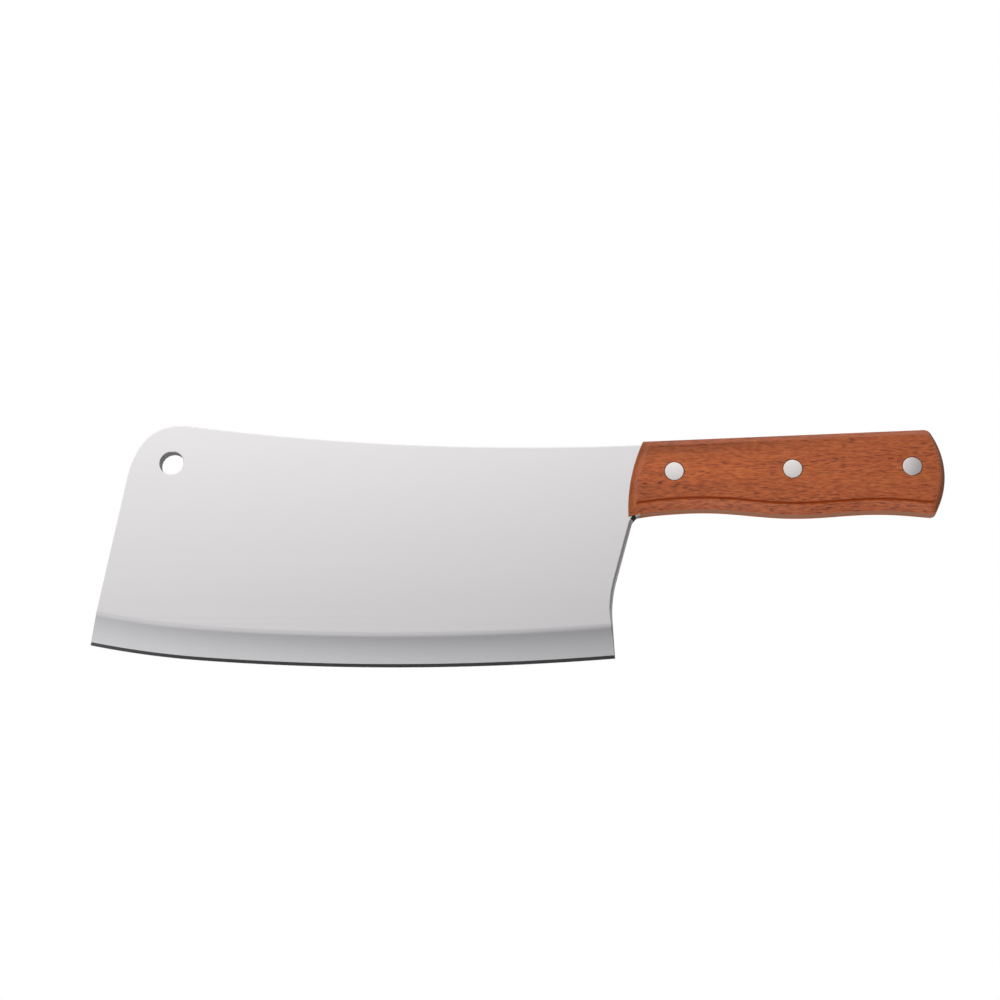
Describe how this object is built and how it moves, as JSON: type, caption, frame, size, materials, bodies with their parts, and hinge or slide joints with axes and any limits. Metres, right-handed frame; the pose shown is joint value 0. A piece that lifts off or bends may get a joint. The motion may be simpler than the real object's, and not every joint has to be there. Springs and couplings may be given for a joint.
{
  "type": "chinese cleaver",
  "caption": "Heavy full-tang kitchen cleaver with a hollow spine, rounded tip corner, hang hole, ground bevel and a riveted two-scale wooden grip.",
  "frame": {"origin": "under the middle of the cleaver lying on its side, at the level of the lower scale's outer face", "axes": "+X from the blade's tip to the butt of the grip, +Y from the cutting edge to the spine, +Z square to the blade, out of the side that the picture shows"},
  "size_m": [0.328, 0.0974, 0.0155],
  "materials": {
    "blade_steel": "satin",
    "grip_wood": "satin lacquer",
    "rivet_metal": "ground"
  },
  "bodies": {
    "root": {"blade": "blade_steel", "scale_front": "grip_wood", "scale_back": "grip_wood", "rivet_stud_front": "rivet_metal", "rivet_stud_middle": "rivet_metal", "rivet_stud_rear": "rivet_metal", "rivet_socket_front": "rivet_metal", "rivet_socket_middle": "rivet_metal", "rivet_socket_rear": "rivet_metal"}
  },
  "joints": []
}
